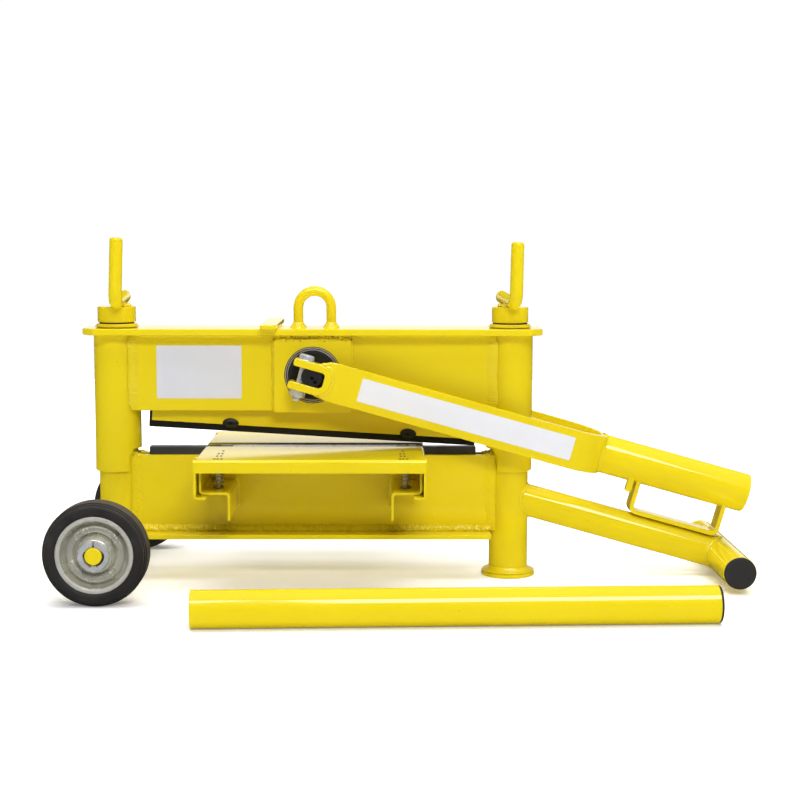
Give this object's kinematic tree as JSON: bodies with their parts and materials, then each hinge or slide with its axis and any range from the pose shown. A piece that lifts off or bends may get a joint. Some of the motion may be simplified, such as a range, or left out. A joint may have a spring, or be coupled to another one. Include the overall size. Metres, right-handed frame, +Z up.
{
  "type": "masonry block splitter",
  "caption": "Hand-lever splitter for paving stones: a screwed upper beam with an eccentric-driven rocking blade over a fixed blade and sprung tables, on wheels and a round foot.",
  "frame": {"origin": "centre of the underside of the round foot, on the floor", "axes": "+Z up, +X along the blades from the wheels towards the lever, -Y towards the side that carries the extension tube"},
  "size_m": [0.8567, 0.4898, 0.4238],
  "materials": {
    "yellow_paint": "glossy yellow enamel on steel",
    "black_paint": "satin black on hardened steel",
    "zinc_plate": "bright zinc plate",
    "plain_steel": "machined steel",
    "tyre": "solid black rubber",
    "black_plastic": "moulded black plastic"
  },
  "bodies": {
    "lower_frame": {"left_column": "yellow_paint", "right_column": "yellow_paint", "spindle_nuts": "plain_steel", "front_lower_web": "yellow_paint", "rear_lower_web": "yellow_paint", "base_plate": "yellow_paint", "lower_blade": "black_paint", "foot_disc": "yellow_paint", "tail_tube": "yellow_paint", "crossbar": "yellow_paint", "crossbar_plugs": "black_plastic", "axle": "yellow_paint", "axle_collars": "yellow_paint", "axle_rings": "zinc_plate", "left_table_rail": "yellow_paint", "right_table_rail": "yellow_paint", "spring_studs": "zinc_plate", "front_springs": "zinc_plate", "rear_springs": "zinc_plate"},
    "upper_frame": {"left_sleeve": "yellow_paint", "right_sleeve": "yellow_paint", "top_plate": "yellow_paint", "front_upper_web": "yellow_paint", "rear_upper_web": "yellow_paint", "front_boss_plate": "yellow_paint", "rear_boss_plate": "yellow_paint", "cam_bushes": "plain_steel", "yoke_guides": "yellow_paint", "lifting_eye": "yellow_paint", "lever_stop": "yellow_paint", "thrust_washers": "yellow_paint"},
    "left_crank": {"left_crank_hub": "yellow_paint", "left_crank_rod": "yellow_paint", "left_spindle": "plain_steel"},
    "right_crank": {"right_crank_hub": "yellow_paint", "right_crank_rod": "yellow_paint", "right_spindle": "plain_steel"},
    "lever": {"cam_shaft": "black_paint", "lever_fork": "yellow_paint", "lever_socket": "yellow_paint", "shaft_clamps": "yellow_paint", "clamp_bolts": "zinc_plate", "clamp_nuts": "zinc_plate", "lever_loop": "yellow_paint", "socket_lug": "yellow_paint"},
    "yoke": {"cam_yoke": "plain_steel", "rocking_pin": "plain_steel"},
    "upper_blade_beam": {"blade_carrier": "yellow_paint", "upper_blade": "black_paint", "blade_screws": "black_paint"},
    "front_table_body": {"front_table": "yellow_paint"},
    "rear_table_body": {"rear_table": "yellow_paint"},
    "front_wheel": {"front_tyre": "tyre", "front_rim": "zinc_plate", "front_wheel_bush": "black_plastic"},
    "rear_wheel": {"rear_tyre": "tyre", "rear_rim": "zinc_plate", "rear_wheel_bush": "black_plastic"},
    "extension": {"extension_tube": "yellow_paint", "extension_plug": "black_plastic"}
  },
  "joints": [
    {"name": "beam_lift", "type": "slide", "parent": "lower_frame", "child": "upper_frame", "axis": [0, 0, 1], "range_m": [0, 0.125]},
    {"name": "left_crank_turn", "type": "hinge", "parent": "upper_frame", "child": "left_crank", "pos_m": [-0.49, 0, 0.33], "axis": [0, 0, 1], "range_deg": [0, 4501]},
    {"name": "right_crank_turn", "type": "hinge", "parent": "upper_frame", "child": "right_crank", "pos_m": [0, 0, 0.33], "axis": [0, 0, 1], "range_deg": [0, 4501]},
    {"name": "lever_swing", "type": "hinge", "parent": "upper_frame", "child": "lever", "pos_m": [-0.245, 0, 0.2555], "axis": [0, -1, 0], "range_deg": [0, 121]},
    {"name": "blade_lift", "type": "slide", "parent": "upper_frame", "child": "yoke", "axis": [0, 0, 1], "range_m": [0, 0.01201]},
    {"name": "blade_rock", "type": "hinge", "parent": "yoke", "child": "upper_blade_beam", "pos_m": [-0.25, 0, 0.2084], "axis": [0, -1, 0], "range_deg": [0, 6.5]},
    {"name": "front_table_press", "type": "slide", "parent": "lower_frame", "child": "front_table_body", "axis": [0, 0, 1], "range_m": [-0.008, 0], "stiffness_N_per_m": 8000, "springref_m": 0.005, "deforming": ["front_springs"]},
    {"name": "rear_table_press", "type": "slide", "parent": "lower_frame", "child": "rear_table_body", "axis": [0, 0, 1], "range_m": [-0.008, 0], "stiffness_N_per_m": 8000, "springref_m": 0.005, "deforming": ["rear_springs"]},
    {"name": "front_wheel_spin", "type": "hinge", "parent": "lower_frame", "child": "front_wheel", "pos_m": [-0.49, -0.1675, 0.061], "axis": [0, 1, 0], "continuous": true},
    {"name": "rear_wheel_spin", "type": "hinge", "parent": "lower_frame", "child": "rear_wheel", "pos_m": [-0.49, 0.1675, 0.061], "axis": [0, 1, 0], "continuous": true},
    {"name": "extension_lift", "type": "slide", "parent": "lower_frame", "child": "extension", "axis": [0, 0, 1], "range_m": [0, 0.3]}
  ],
  "couplings": [
    {"joint": "left_crank_turn", "follows": "beam_lift", "rad_per_m": 628.32},
    {"joint": "right_crank_turn", "follows": "beam_lift", "rad_per_m": 628.32},
    {"joint": "blade_lift", "follows": "lever_swing", "m_per_rad": 0.0056822}
  ]
}
